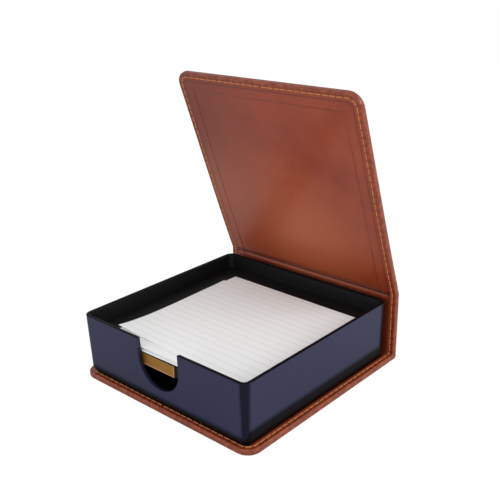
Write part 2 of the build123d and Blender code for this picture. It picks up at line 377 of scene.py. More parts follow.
@dataclass(frozen=True)
class CoatedLeather(Finish):
    """Tan bonded leather with a semi-gloss coating, burnished darker in clouds and paler where it bends,
    with painted patches of light and shade and painted shade in its grooves and creases.
    """

    name: str = "bonded_leather_semigloss_tan"
    deep: str = "82321b"
    warm: str = "943f24"
    rubbed: str = "984829"
    dark_fleck_colour: str = "672a14"
    painted_shade_colour: str = "1f0c07"
    cloud_mm: float = 22.0
    blotch_mm: float = 5.0
    fleck_mm: float = 2.4
    grain_mm: float = 0.9
    grain_depth_mm: float = 0.12
    # Painted light and shade on the lid: a painted pool of light low in the middle, a hazy painted
    # reflection at mid-left, and painted shade at the top left
    painted_light_patches: tuple[PaintedLightPatch, ...] = (
        PaintedLightPatch("aa5735", (4.0, 52.0, 66.0), 62.0),
        PaintedLightPatch("96523d", (-62.0, 41.0, 98.0), 72.0),
        PaintedLightPatch("702c1a", (-62.0, 25.0, 142.0), 70.0),
    )

    def look(self, tree: Tree) -> dict:
        """Builds clouded colour, a faint rolled grain, and a coat that catches soft highlights, over which
        light and shade are painted.

        Args:
            tree: the material's tree.

        Returns:
            The shader's inputs, fed by the attributes rest_place, wear, and the one that holds the painted
            shade.
        """
        place, wear, painted_shade = (
            add_node(tree, "ShaderNodeAttribute", {"attribute_name": name}).outputs[output]
            for name, output in (("rest_place", "Vector"), ("wear", "Fac"), ("painted_shade", "Fac"))
        )
        cloud, blotch, fleck = (
            add_node(
                tree, "ShaderNodeTexNoise",
                inputs={"Vector": place, "Scale": 1000 / size, "Detail": detail, "Roughness": roughness},
            )
            for size, detail, roughness in (
                (self.cloud_mm, 3.0, 0.55), (self.blotch_mm, 4.0, 0.6), (self.fleck_mm, 3.0, 0.6),
            )
        )
        clouds = {0: blotch, 1: 0.35, 2: cloud}
        clouded = add_node(tree, "ShaderNodeMath", {"operation": "MULTIPLY_ADD"}, clouds)
        light = {"Value": clouded, "From Min": 0.45, "From Max": 0.9}
        share = add_node(tree, "ShaderNodeMapRange", inputs=light)
        # The handled edges are rubbed paler in flecks, and stay dark between them
        dappled = add_node(
            tree, "ShaderNodeMapRange",
            inputs={"Value": fleck, "From Min": 0.38, "From Max": 0.62, "To Min": 0.1, "To Max": 1.0},
        )
        rub = add_node(tree, "ShaderNodeMath", {"operation": "MULTIPLY"}, {0: wear, 1: dappled})
        dark_fleck = add_node(tree, "ShaderNodeMath", {"operation": "SUBTRACT"}, {0: wear, 1: rub})
        tone = linear(self.deep)
        # Over the clouds go painted patches of light and shade, the rubbed edges, and last the painted
        # shade of the seams, creases and the tray's surroundings
        for mask, colour in (
            (share, self.warm),
            *((patch.mask(tree, place), patch.colour) for patch in self.painted_light_patches),
            (rub, self.rubbed),
            (dark_fleck, self.dark_fleck_colour),
            (painted_shade, self.painted_shade_colour),
        ):
            layer = {"Factor": mask, 6: tone, 7: linear(colour)}
            tone = add_node(tree, "ShaderNodeMix", {"data_type": "RGBA"}, layer)
        # The rolled grain is finer than a render pixel, so it is drawn a little coarser than life
        grain = add_node(
            tree, "ShaderNodeTexVoronoi",
            inputs={"Vector": place, "Scale": 1000 / self.grain_mm, "Randomness": 1.0},
        )
        bump = add_node(
            tree, "ShaderNodeBump",
            inputs={"Strength": 0.10, "Distance": self.grain_depth_mm * MM, "Height": grain},
        )
        gloss = add_node(
            tree, "ShaderNodeMapRange",
            inputs={"Value": blotch, "From Min": 0.3, "From Max": 0.7, "To Min": 0.34, "To Max": 0.46},
        )
        return {
            "Base Color": tone, "Roughness": gloss, "IOR": 1.4, "Normal": bump,
            "Coat Weight": 0.22, "Coat Roughness": 0.16,
        }


@dataclass(frozen=True)
class DeepShade:
    """Where a moulding's colour is painted near black, as deep shade: at its foot, rim, rounded corners and
    back end. Places in mm.

    The foot, rim and back are given as where the shade starts and ends, foot and rim in height and back in
    depth. The flat is half the width and half the depth of the flat walls, from the middle to the rounded
    corners, and the corners and side walls are told by how far they lie past it.
    """

    foot: Pair
    rim: Pair
    back: Pair
    flat: Pair
    middle_y: float
    side_rise: float
    side_past: Pair = (2.6, 4.0)
    corner_past: Pair = (0.5, 1.9)
    corner_dark: float = 0.78
    back_dark: float = 0.9
    colour: str = "09090d"

    def mask(self, tree: Tree, place: bpy.types.NodeSocket) -> Node:
        """Builds the mask of the shade.

        Args:
            tree: the moulding's tree.
            place: the place on the moulding.

        Returns:
            A node that gives the darkness, from 0 to 1.
        """
        split = add_node(tree, "ShaderNodeSeparateXYZ", inputs={0: place}).outputs
        past = []
        for axis, middle, flat in (("X", 0.0, self.flat[0]), ("Y", self.middle_y, self.flat[1])):
            offset = {0: split[axis], 1: middle * MM}
            aside = add_node(tree, "ShaderNodeMath", {"operation": "SUBTRACT"}, offset)
            out = add_node(tree, "ShaderNodeMath", {"operation": "ABSOLUTE"}, {0: aside})
            past.append(add_node(tree, "ShaderNodeMath", {"operation": "SUBTRACT"}, {0: out, 1: flat * MM}))
        # The painted shade at the foot reaches higher on the two sides than at the front
        start, end = self.side_past
        rise = add_node(
            tree, "ShaderNodeMapRange", {"interpolation_type": "SMOOTHSTEP"},
            {"Value": past[0], "From Min": start * MM, "From Max": end * MM, "To Max": self.side_rise * MM},
        )
        above = add_node(tree, "ShaderNodeMath", {"operation": "SUBTRACT"}, {0: split["Z"], 1: rise})
        both = add_node(tree, "ShaderNodeMath", {"operation": "MINIMUM"}, {0: past[0], 1: past[1]})
        darkest = None
        for easing, value, (start, end), (first, last) in (
            ("SMOOTHSTEP", above, self.foot, (1.0, 0.0)),
            ("SMOOTHSTEP", both, self.corner_past, (0.0, self.corner_dark)),
            ("LINEAR", split["Z"], self.rim, (0.0, 1.0)),
            ("LINEAR", split["Y"], self.back, (0.0, self.back_dark)),
        ):
            zone = {"From Min": start * MM, "From Max": end * MM, "To Min": first, "To Max": last}
            dark = add_node(
                tree, "ShaderNodeMapRange", {"interpolation_type": easing}, {"Value": value, **zone}
            )
            if darkest is not None:
                dark = add_node(tree, "ShaderNodeMath", {"operation": "MAXIMUM"}, {0: darkest, 1: dark})
            darkest = dark
        return darkest


@dataclass(frozen=True)
class MouldedPlastic(Finish):
    """Moulded polystyrene with a fine matt spark texture, which keeps a soft sheen."""

    name: str
    colour: str
    roughness: float
    ior: float
    shade: DeepShade | None = None
    spark_mm: float = 0.7
    spark_depth_mm: float = 0.1

    def look(self, tree: Tree) -> dict:
        """Builds one even colour on a barely uneven, satin surface, painted near black where it lies in
        deep shade.

        Args:
            tree: the material's tree.

        Returns:
            The shader's inputs.
        """
        place = add_node(tree, "ShaderNodeTexCoord").outputs["Object"]
        spark = add_node(
            tree, "ShaderNodeTexNoise",
            inputs={"Vector": place, "Scale": 1000 / self.spark_mm, "Detail": 2.0},
        )
        bump = add_node(
            tree, "ShaderNodeBump",
            inputs={"Strength": 0.05, "Distance": self.spark_depth_mm * MM, "Height": spark},
        )
        colour = linear(self.colour)
        look = {"Base Color": colour, "Roughness": self.roughness, "IOR": self.ior, "Normal": bump}
        if self.shade:
            # Deep shade is painted into the colour, near black
            dark = self.shade.mask(tree, place)
            shade_painted = {"Factor": dark, 6: colour, 7: linear(self.shade.colour)}
            look["Base Color"] = add_node(tree, "ShaderNodeMix", {"data_type": "RGBA"}, shade_painted)
            # Where deep shade is painted, the surface also mirrors almost nothing
            mirrored = {"Value": dark, "To Min": 0.5, "To Max": 0.1}
            look["Specular IOR Level"] = add_node(tree, "ShaderNodeMapRange", inputs=mirrored)
        return look


@dataclass(frozen=True)
class BrushedBrass(Finish):
    """Lacquered brass strip, brushed along its length, with a warm streaky shine."""

    shade_from_mm: float
    name: str = "brass_brushed_lacquered"
    colour: str = "aa803e"
    border_highlight_colour: str = "cf9f78"
    shade_colour: str = "35200e"
    brush_mm: float = 0.35
    shade_edge_mm: float = 0.1

    def look(self, tree: Tree) -> dict:
        """Builds a metal whose fine lines run along X and spread its highlights, with a painted highlight
        on its raised border and a painted shade line along its top.

        Args:
            tree: the material's tree.

        Returns:
            The shader's inputs, fed by the attribute border.
        """
        place = add_node(tree, "ShaderNodeTexCoord").outputs["Object"]
        stretch = add_node(tree, "ShaderNodeMapping", inputs={"Vector": place, "Scale": (0.02, 1.0, 1.0)})
        lines = add_node(
            tree, "ShaderNodeTexNoise",
            inputs={"Vector": stretch, "Scale": 1000 / self.brush_mm, "Detail": 2.0},
        )
        rough = add_node(tree, "ShaderNodeMapRange", inputs={"Value": lines, "To Min": 0.5, "To Max": 0.68})
        border = add_node(tree, "ShaderNodeAttribute", {"attribute_name": "border"}).outputs["Fac"]
        # A thin line along the plate's top is painted dark, as the shade of the notes that hang over it
        height = add_node(tree, "ShaderNodeSeparateXYZ", inputs={0: place}).outputs["Z"]
        shade = add_node(
            tree, "ShaderNodeMapRange",
            inputs={
                "Value": height,
                "From Min": (self.shade_from_mm - self.shade_edge_mm) * MM,
                "From Max": (self.shade_from_mm + self.shade_edge_mm) * MM,
            },
        )
        # The raised border gets a painted highlight, paler than the brushed field
        tone = linear(self.colour)
        for mask, colour in ((border, self.border_highlight_colour), (shade, self.shade_colour)):
            layer = {"Factor": mask, 6: tone, 7: linear(colour)}
            tone = add_node(tree, "ShaderNodeMix", {"data_type": "RGBA"}, layer)
        return {"Base Color": tone, "Metallic": 1.0, "Roughness": rough}


@dataclass(frozen=True)
class RuledPaper(Finish):
    """White writing paper, 80 gram, uncoated, with feint grey rules across it."""

    name: str
    turn_deg: float
    centre_mm: Pair
    colour: str = "f4f7f7"
    rule_colour: str = "e1e5e9"
    pitch_mm: float = 5.5
    rule_mm: float = 0.45

    def look(self, tree: Tree) -> dict:
        """Builds matt white with even rules, drawn a little wide so that they show.

        Args:
            tree: the material's tree.

        Returns:
            The shader's inputs.
        """
        place = add_node(tree, "ShaderNodeTexCoord").outputs["Object"]
        squared = add_node(
            tree, "ShaderNodeVectorRotate", {"rotation_type": "Z_AXIS"},
            {
                "Vector": place,
                "Center": (self.centre_mm[0] * MM, self.centre_mm[1] * MM, 0.0),
                "Angle": -math.radians(self.turn_deg),
            },
        )
        across = add_node(tree, "ShaderNodeSeparateXYZ", inputs={0: squared}).outputs["Y"]
        # A hundred rows are added, so that the count stays above zero on the whole slip
        rows = {0: across, 1: 1000 / self.pitch_mm, 2: 100.0}
        row = add_node(tree, "ShaderNodeMath", {"operation": "MULTIPLY_ADD"}, rows)
        part = add_node(tree, "ShaderNodeMath", {"operation": "FRACT"}, {0: row})
        rule = {0: part, 1: self.rule_mm / self.pitch_mm}
        ruled = add_node(tree, "ShaderNodeMath", {"operation": "LESS_THAN"}, rule)
        inks = {"Factor": ruled, 6: linear(self.colour), 7: linear(self.rule_colour)}
        ink = add_node(tree, "ShaderNodeMix", {"data_type": "RGBA"}, inks)
        return {"Base Color": ink, "Roughness": 0.85, "IOR": 1.4}


@dataclass(frozen=True)
class SewingThread(Finish):
    """Bonded polyester sewing thread, twisted, slightly waxy."""

    name: str = "polyester_thread_orange_tan"
    colour: str = "c47439"

    def look(self, tree: Tree) -> dict:
        """Gives one dyed colour with a soft thread sheen, which needs no nodes of its own."""
        colour = linear(self.colour)
        return {"Base Color": colour, "Roughness": 0.6, "Sheen Weight": 0.2, "Sheen Roughness": 0.5}


@dataclass(frozen=True)
class PlainSolid(Finish):
    """A hidden inner material that needs only its own colour, such as grey board or bonding foam."""

    name: str
    colour: str
    roughness: float = 0.9

    def look(self, tree: Tree) -> dict:
        """Gives one even matt colour, which needs no nodes of its own."""
        return {"Base Color": linear(self.colour), "Roughness": self.roughness}


# ---- Cover ----


@dataclass(frozen=True)
class Swell:
    """A soft line in the leather: where it lies, its half width, and its depth in mm or the darkness of its
    painted shade.
    """

    place: float
    width: float
    depth: float

    def at(self, distance: np.ndarray) -> np.ndarray:
        """Gives the line's depth at some distances from where its place is counted."""
        return self.depth * np.exp(-(((distance - self.place) / self.width) ** 2))


@dataclass(frozen=True)
class FaceForm:
    """What differs between the cover's two faces: which side it is, and its sizes in mm."""

    side: float
    fold: float
    rounding: float
    thread_sink: float


@dataclass
class Walk:
    """A walk along one face of the cover: rows of y and z, and of the way out of the leather there."""

    side: float
    rows: list[tuple[float, float, float, float]] = field(default_factory=list)

    def add(self, point: np.ndarray, out: np.ndarray) -> None:
        """Notes one point and the way out of the leather."""
        self.rows.append((*point, *out))

    def straight(self, start: np.ndarray, end: np.ndarray, count: int, out: np.ndarray) -> None:
        """Notes evenly spaced points on a straight stretch, leaving out its start.

        Args:
            start: where it starts.
            end: where it ends.
            count: how many points it gets.
            out: the way out of the leather.
        """
        for k in range(1, count + 1):
            self.add(start + (end - start) * k / count, out)

    def arc(self, centre: np.ndarray, radius: float, start: float, sweep: float, count: int) -> None:
        """Notes evenly spaced points round a fold, leaving out its start.

        Args:
            centre: the fold's centre.
            radius: its radius.
            start: its first angle, in radians.
            sweep: how far it turns.
            count: how many points it gets.
        """
        for k in range(1, count + 1):
            turn = start + sweep * k / count
            spoke = np.array([math.cos(turn), math.sin(turn)])
            self.add(centre + radius * spoke, -self.side * spoke)


@dataclass(frozen=True)
class Track:
    """One face of the cover from the side, as points from the base's front to the lid's far edge, in mm.

    The spine is the range of points on the spine's flat stretch, and run is the way walked to each point.
    """

    points: np.ndarray
    normals: np.ndarray
    tangents: np.ndarray
    run: np.ndarray
    spine: range


@dataclass(frozen=True)
class FaceGrid:
    """One face of one half of the skin, as arrays over its rows, or over its rows and columns, in mm.

    Each row has its point, normal and tangent. Each vertex has its x, its shift along the panel, its inset
    from the nearest edge, its angle round the corner and whether it lies there, and its phase along the
    seam, in stitches.
    """

    face: Face
    points: np.ndarray
    normals: np.ndarray
    tangents: np.ndarray
    x: np.ndarray
    shift: np.ndarray
    inset: np.ndarray
    angle: np.ndarray
    corner: np.ndarray
    phase: np.ndarray

    @property
    def between(self) -> np.ndarray:
        """How near each vertex is to a gap between two stitches: 1 there, and 0 amid a stitch."""
        return 0.5 + 0.5 * np.cos(2 * math.pi * self.phase)

    def distance(self, y: float, z: float) -> np.ndarray:
        """Gives the distance of each row from a line along X, as a column."""
        return np.hypot(self.points[:, 0] - y, self.points[:, 1] - z)[:, None]

    def sunk(self, depth: np.ndarray) -> np.ndarray:
        """Sinks the flat face by a depth at each vertex.

        Args:
            depth: the depths, in mm.

        Returns:
            The vertices' places in metres, as rows by columns by three.
        """
        flat = self.points[:, None, :] + self.shift[..., None] * self.tangents[:, None, :]
        placed = flat - depth[..., None] * self.normals[:, None, :]
        return np.concatenate([self.x[..., None], placed], axis=2) * MM


@dataclass
class BookCover:
    """The leather cover: base, spine and lid in one skin with two creases, and its seams. Sizes in mm."""

    width: float = 127.0
    depth: float = 130.6
    thickness: float = 3.8
    corner: float = 8.0
    lid_length: float = 128.7
    lid_angle: float = 69.9
    lid_bow: float = 0.4
    crease_y: float = 63.4
    lower_z: float = 1.9
    upper_z: float = 41.75
    lid_fold: float = 3.0
    blend_reach: float = 3.2
    sharp_deg: float = 50.0
    forms: dict[Face, FaceForm] = field(
        default_factory=lambda: {
            Face.INNER: FaceForm(side=1.0, fold=0.6, rounding=1.0, thread_sink=0.22),
            Face.OUTER: FaceForm(side=-1.0, fold=2.0, rounding=1.3, thread_sink=0.34),
        }
    )
    # The seam, the puckers and pleats outside it, and the turned-in leather inside it
    seam_inset: float = 2.8
    stitches: int = 46
    thread_width: float = 0.62
    seam_groove: Swell = Swell(seam_inset, 0.55, 0.42)
    seam_even: float = 0.75
    seam_pulled: float = 0.35
    pucker: Swell = Swell(1.35, 0.8, 0.13)
    pleat: Swell = Swell(1.2, 1.1, 0.22)
    corner_pleats: int = 7
    turn_in: float = 10.8
    turn_in_step: float = 0.16
    turn_in_slope: float = 0.28
    turn_in_ridge: Swell = Swell(turn_in - 0.5, 0.5, -0.10)
    # The creases, counted from their hinge lines
    lid_crease: Swell = Swell(2.3, 0.32, 0.6)
    upper_roll: Swell = Swell(3.4, 1.3, 0.45)
    lower_roll: Swell = Swell(5.0, 1.4, 0.35)
    crease_end: Pair = (4.5, 3.0)
    crease_end_share: float = 0.35
    # Lines and places of painted shade. A pair is where the painted shade starts, and the width over which
    # it comes in
    seam_dark: Swell = Swell(seam_inset, 0.5, 0.36)
    pucker_dark: Swell = Swell(1.5, 0.7, 0.45)
    pressed_dark: Swell = Swell(5.0, 0.4, 0.55)
    turn_in_dark: Swell = Swell(turn_in, 0.4, 0.3)
    crease_dark: Swell = Swell(lid_crease.place, 0.4, 0.75)
    crease_dark_in: Pair = (3.5, 2.0)
    behind_dark: float = 0.5
    behind_dark_in: Pair = (5.3, 0.6)
    behind_dark_down: Pair = (3.0, 1.5)
    footprint_dark: float = 0.95
    footprint_in: Pair = (1.0, 1.2)
    base_top: float = 2.5
    base_end: float = 1.0
    tray_half: float = 60.7
    tray_front: float = -64.5
    tray_back: float = 57.0
    wear_start: float = 0.3
    wear_reach: float = 1.3
    wear_most: float = 0.85
    # How finely the lid's board is cut, and the skin divided: near its edges, on its flats, at its creases
    first_cut: float = 6.0
    cut_step: float = 4.0
    insets: tuple[float, ...] = (
        0.0, 0.04, 0.15, 0.32, 0.55, 0.85, 1.2, 1.6, 2.0, 2.3, 2.55, 2.8,
        3.05, 3.3, 3.65, 4.0, 4.4, 4.8, 5.25, 5.8, 6.5, 7.2, 8.0,
    )
    past_corner_step: float = 0.4
    past_corner_rows: int = 10
    flat_columns: int = 92
    base_rows: int = 100
    spine_rows: int = 27
    lid_rows: int = 98
    fold_rows: int = 8
    bend_rows: int = 6
    by_bend_rows: int = 10
    lower_zone: float = 5.0
    upper_zone: float = 5.3
    lid_zone: float = 5.6

    def __post_init__(self) -> None:
        """Lays out the rows and columns that both faces share."""
        past_corner = np.arange(1, self.past_corner_rows + 1) * self.past_corner_step
        self.steps = np.concatenate([self.insets, self.corner + past_corner])
        half = self.width / 2
        flat = half - self.steps[-1]
        middle = np.linspace(-flat, flat, self.flat_columns + 2)[1:-1]
        self.columns = np.concatenate([self.steps - half, middle, (half - self.steps)[::-1]])
        self.tracks = {face: self.track(face) for face in Face}
        inner = self.tracks[Face.INNER]
        heights = inner.points[:, 1]
        mid_spine = (self.lower_z + self.upper_z) / 2
        self.split = min(inner.spine, key=lambda row: abs(heights[row] - mid_spine))
        down, up = np.arange(self.split, -1, -1), np.arange(self.split, len(heights))
        self.rows = {Half.LOWER: down, Half.UPPER: up}

    def lid_way(self) -> np.ndarray:
        """Direction (y, z) of the lid, from its crease to its far edge."""
        angle = math.radians(self.lid_angle)
        return np.array([-math.cos(angle), math.sin(angle)])

    def bow_at(self, reach: np.ndarray) -> np.ndarray:
        """How far the used lid bows in towards the tray, most at a third of its length.

        Args:
            reach: distances from the upper crease along the lid, in mm.

        Returns:
            The bow at each of them, in mm.
        """
        share = np.clip(reach / self.lid_length, 0.0, 1.0)
        # The cubic's peak is 4/27, which the factor brings to 1
        return self.lid_bow * 27 / 4 * share * (1 - share) ** 2

    def track(self, face: Face) -> Track:
        """Walks one face of the cover from the base's front edge to the lid's far edge.

        Args:
            face: the face to walk.

        Returns:
            The track, with one entry for each row of the skin's grid.
        """
        form, half, way = self.forms[face], self.thickness / 2, self.lid_way()
        side = form.side
        lid_in = np.array([-way[1], way[0]])
        from_base, from_spine, from_lid = np.array([0.0, side]), np.array([-side, 0.0]), side * lid_in
        front, base_z, spine_y = -self.depth / 2, self.lower_z + side * half, self.crease_y - side * half
        walk = Walk(side)
        for step in self.steps:
            walk.add(np.array([front + step, base_z]), from_base)
        by_crease = np.array([self.crease_y - self.lower_zone, base_z])
        walk.straight(np.array([front + self.steps[-1], base_z]), by_crease, self.base_rows, from_base)
        centre = np.array([spine_y - form.fold, base_z + form.fold])
        walk.straight(by_crease, np.array([centre[0], base_z]), self.fold_rows, from_base)
        walk.arc(centre, form.fold, -math.pi / 2, math.pi / 2, self.fold_rows)
        foot, top = (
            np.array([spine_y, z]) for z in (self.lower_z + self.lower_zone, self.upper_z - self.upper_zone)
        )
        walk.straight(np.array([spine_y, centre[1]]), foot, self.fold_rows, from_spine)
        first_spine = len(walk.rows)
        walk.straight(foot, top, self.spine_rows, from_spine)
        spine = range(first_spine, len(walk.rows))
        bend = math.radians(90 - self.lid_angle)
        reach = (self.lid_fold + half) * math.tan(bend / 2)
        centre = np.array([self.crease_y - self.lid_fold - half, self.upper_z - reach])
        radius = self.lid_fold + half - side * half
        walk.straight(top, centre + np.array([radius, 0.0]), self.by_bend_rows, from_spine)
        walk.arc(centre, radius, 0.0, bend, self.bend_rows)
        start = np.array([self.crease_y, self.upper_z]) + half * from_lid
        first_lid = len(walk.rows)
        by_bend = start + way * self.lid_zone
        walk.straight(start + way * reach, by_bend, self.by_bend_rows, from_lid)
        walk.straight(by_bend, start + way * (self.lid_length - self.steps[-1]), self.lid_rows, from_lid)
        for step in self.steps[-2::-1]:
            walk.add(start + way * (self.lid_length - step), from_lid)
        table = np.array(walk.rows)
        points, normals = table[:, :2], table[:, 2:]
        points[first_lid:] += self.bow_at((points[first_lid:] - start) @ way)[:, None] * lid_in
        run = np.concatenate([[0.0], np.cumsum(np.linalg.norm(np.diff(points, axis=0), axis=1))])
        tangents = side * np.stack([normals[:, 1], -normals[:, 0]], axis=1)
        return Track(points, normals, tangents, run, spine)

    def layout(self, half: Half, face: Face) -> FaceGrid:
        """Places every grid vertex of one face of one half on the unrolled cover.

        Args:
            half: the half of the skin.
            face: the face.

        Returns:
            The grid, whose rows and columns bend round the panel's rounded corners.
        """
        track, rows = self.tracks[face], self.rows[half]
        edge, corner, tiny = self.width / 2, self.corner, 1e-9
        end_run, split_run = 0.0 if half is Half.LOWER else track.run[-1], track.run[self.split]
        shape = (len(rows), len(self.columns))
        x = np.broadcast_to(self.columns, shape)
        away, side_run = (
            np.broadcast_to(np.abs(track.run[rows] - run)[:, None], shape) for run in (end_run, split_run)
        )
        d_side = edge - np.abs(x)
        in_corner = (away < corner - tiny) & (d_side < corner - tiny)
        a, b = (np.clip((corner - d) / corner, 0, 1) for d in (d_side, away))
        ring = np.maximum(a, b)
        safe = np.where(ring > tiny, ring, 1.0)
        angle = np.where(a >= b, math.pi / 4 * b / safe, math.pi / 2 - math.pi / 4 * a / safe)
        round_x = np.sign(x) * (edge - corner + corner * ring * np.cos(angle))
        round_away = corner - corner * ring * np.sin(angle)
        # The seam runs up the side, round the corner and along the far edge to the middle
        radius = corner - self.seam_inset
        side_end = abs(end_run - split_run) - corner
        corner_end = side_end + radius * math.pi / 2
        seam_end = corner_end + (edge - corner)
        far_run = seam_end - np.abs(x)
        seam_run = np.where(away < d_side, far_run, side_run)
        seam_run = np.where(in_corner, side_end + radius * angle, seam_run)
        shift = np.where(in_corner, round_away, away) - away
        return FaceGrid(
            face=face,
            points=track.points[rows],
            normals=track.normals[rows],
            tangents=track.tangents[rows],
            x=np.where(in_corner, round_x, x),
            shift=shift if half is Half.LOWER else -shift,
            inset=np.where(in_corner, corner * (1 - ring), np.minimum(d_side, away)),
            angle=np.where(in_corner, angle, 0.0),
            corner=in_corner,
            phase=seam_run / seam_end * self.stitches,
        )

    def sink(self, grid: FaceGrid) -> np.ndarray:
        """Works out how far the leather sits under the flat face: edges, seam, puckers, pleats and turn-in.

        Args:
            grid: the face of one half.

        Returns:
            The depth of each vertex under the flat face, in mm.
        """
        d = grid.inset
        rounding = self.forms[grid.face].rounding
        inside = np.clip(rounding - d, 0, rounding)
        depth = rounding - np.sqrt(rounding**2 - inside**2)
        depth = depth + self.seam_groove.at(d) * (self.seam_even + self.seam_pulled * grid.between**3)
        depth = depth + self.pucker.at(d) * grid.between
        pleated = 0.5 + 0.5 * np.cos(4 * self.corner_pleats * grid.angle)
        depth = depth + self.pleat.at(d) * np.where(grid.corner, pleated, 0.0)
        if grid.face is Face.INNER:
            step = self.turn_in_step / (1 + np.exp(-(d - self.turn_in) / self.turn_in_slope))
            depth = depth + step + self.turn_in_ridge.at(d)
        return depth + self.crease_sink(grid)

    def crease_sink(self, grid: FaceGrid) -> np.ndarray:
        """Works out the depth of the two creases, where no board stiffens the leather.

        Args:
            grid: the face of one half.

        Returns:
            The extra depth of each vertex, in mm.
        """
        upper = grid.distance(self.crease_y, self.upper_z)
        lower = grid.distance(self.crease_y, self.lower_z)
        inward = ramp(self.width / 2 - np.abs(grid.x), self.crease_end)
        inward = inward * inward * (3 - 2 * inward)
        if grid.face is Face.INNER:
            return self.lid_crease.at(upper) * inward
        share = self.crease_end_share + (1 - self.crease_end_share) * inward
        return (self.upper_roll.at(upper) + self.lower_roll.at(lower)) * share

    def darkness(self, grid: FaceGrid) -> np.ndarray:
        """Tells where shade is painted on the leather: seam, puckers, pressed line, turned-in edge, crease,
        and under and behind the tray.

        Args:
            grid: the face of one half.

        Returns:
            The painted shade of each vertex, from 0 to 1.
        """
        d, y, z = grid.inset, grid.points[:, :1], grid.points[:, 1:]
        dark = self.seam_dark.at(d) + self.pucker_dark.at(d) * grid.between**2
        if grid.face is Face.INNER:
            upper = grid.distance(self.crease_y, self.upper_z)
            dark = dark + self.pressed_dark.at(d) + self.turn_in_dark.at(d)
            dark = dark + self.crease_dark.at(upper) * ramp(d, self.crease_dark_in)
            behind = ramp(self.upper_z - z, self.behind_dark_down) * (y > self.tray_back)
            dark = dark + self.behind_dark * behind * ramp(d, self.behind_dark_in)
            on_base = (z < self.lower_z + self.base_top) & (y < self.tray_back + self.base_end)
            footprint = ramp(self.tray_half - np.abs(grid.x), self.footprint_in)
            footprint = footprint * ramp(y - self.tray_front, self.footprint_in)
            dark = dark + self.footprint_dark * on_base * footprint
        return np.clip(dark, 0, 1)

    def skin(self, half: Half, material: Material) -> Piece:
        """Builds one half of the cover's closed leather skin.

        Args:
            half: the half to build.
            material: the leather.

        Returns:
            The piece, in place.
        """
        grids = [self.layout(half, face) for face in Face]
        inner, outer = (grid.sunk(self.sink(grid)) for grid in grids)
        mesh = closed_sheet(f"cover_{half.value}", inner, outer)
        with editing(mesh) as shell:
            bmesh.ops.recalc_face_normals(shell, faces=shell.faces)
        mesh.shade_smooth()
        mesh.set_sharp_from_angle(angle=math.radians(self.sharp_deg))
        insets = np.concatenate([grid.inset.ravel() for grid in grids])
        wear = self.wear_most * np.exp(-np.clip(insets - self.wear_start, 0, None) / self.wear_reach)
        # The painted shade of the seams, creases and the tray's surroundings goes to the finish as a point
        # attribute
        dark = np.concatenate([self.darkness(grid).ravel() for grid in grids])
        for name, kind, key, values in (
            ("rest_place", "FLOAT_VECTOR", "vector", np.concatenate([inner, outer]).ravel()),
            ("wear", "FLOAT", "value", wear),
            ("painted_shade", "FLOAT", "value", dark),
        ):
            mesh.attributes.new(name, kind, "POINT").data.foreach_set(key, values)
        return new_piece(f"cover_{half.value}", mesh, material)

    def bowed_board(self, node: Piece, material: Material) -> Piece:
        """Bends a copy of the lid's flat board to the bow of its skin.

        Args:
            node: the CAD board.
            material: the board's finish.

        Returns:
            The bent board.
        """
        along = Vector((0.0, *self.lid_way()))
        inward = Vector((0.0, -along.z, along.y))
        start = Vector((0.0, self.crease_y, self.upper_z)) * MM
        mesh = node.data.copy()
        with editing(mesh) as board:
            bmesh.ops.remove_doubles(board, verts=board.verts, dist=WELD)
            for reach in np.arange(self.first_cut, self.lid_length, self.cut_step):
                parts = board.verts[:] + board.edges[:] + board.faces[:]
                cut = start + along * float(reach) * MM
                bmesh.ops.bisect_plane(board, geom=parts, plane_co=cut, plane_no=along)
            for vert in board.verts:
                reach = (vert.co - start).dot(along) / MM
                vert.co += inward * float(self.bow_at(np.array(reach))) * MM
        return new_piece("lid_board_bowed", mesh, material)

    def seam_guides(self, half: Half) -> Mesh:
        """Draws the lines that the stitches follow, from mid-spine to the far edge on both sides and faces.

        Args:
            half: the half of the cover.

        Returns:
            A mesh of edges, with one chain for each line.
        """
        ring, middle = self.insets.index(self.seam_inset), len(self.columns) // 2
        points: list[list[float]] = []
        edges: list[tuple[int, int]] = []
        for face in Face:
            grid = self.layout(half, face)
            places = grid.sunk(self.forms[face].thread_sink + self.crease_sink(grid))
            last = len(places) - 1 - ring
            for column, step in ((ring, 1), (len(self.columns) - 1 - ring, -1)):
                up, along = places[:last, column], places[last, column:middle:step]
                start = len(points)
                points.extend(np.concatenate([up, along, [places[last, middle] * (0, 1, 1)]]).tolist())
                edges.extend((k, k + 1) for k in range(start, len(points) - 1))
        mesh = bpy.data.meshes.new(f"seam_{half.value}_guides")
        mesh.from_pydata(points, edges, [])
        return mesh

    def seam(self, half: Half, tree: Tree, material: Material) -> Piece:
        """Sews one half of the cover.

        Args:
            half: the half to sew.
            tree: the stitching node tree.
            material: the thread.

        Returns:
            The stitches, as one plain mesh.
        """
        piece = new_piece(f"seam_{half.value}", self.seam_guides(half), material)
        values = {"Stitches": self.stitches, "Thread Width": self.thread_width * MM, "Thread": material}
        grow(piece, tree, values)
        piece.data.shade_smooth()
        return piece

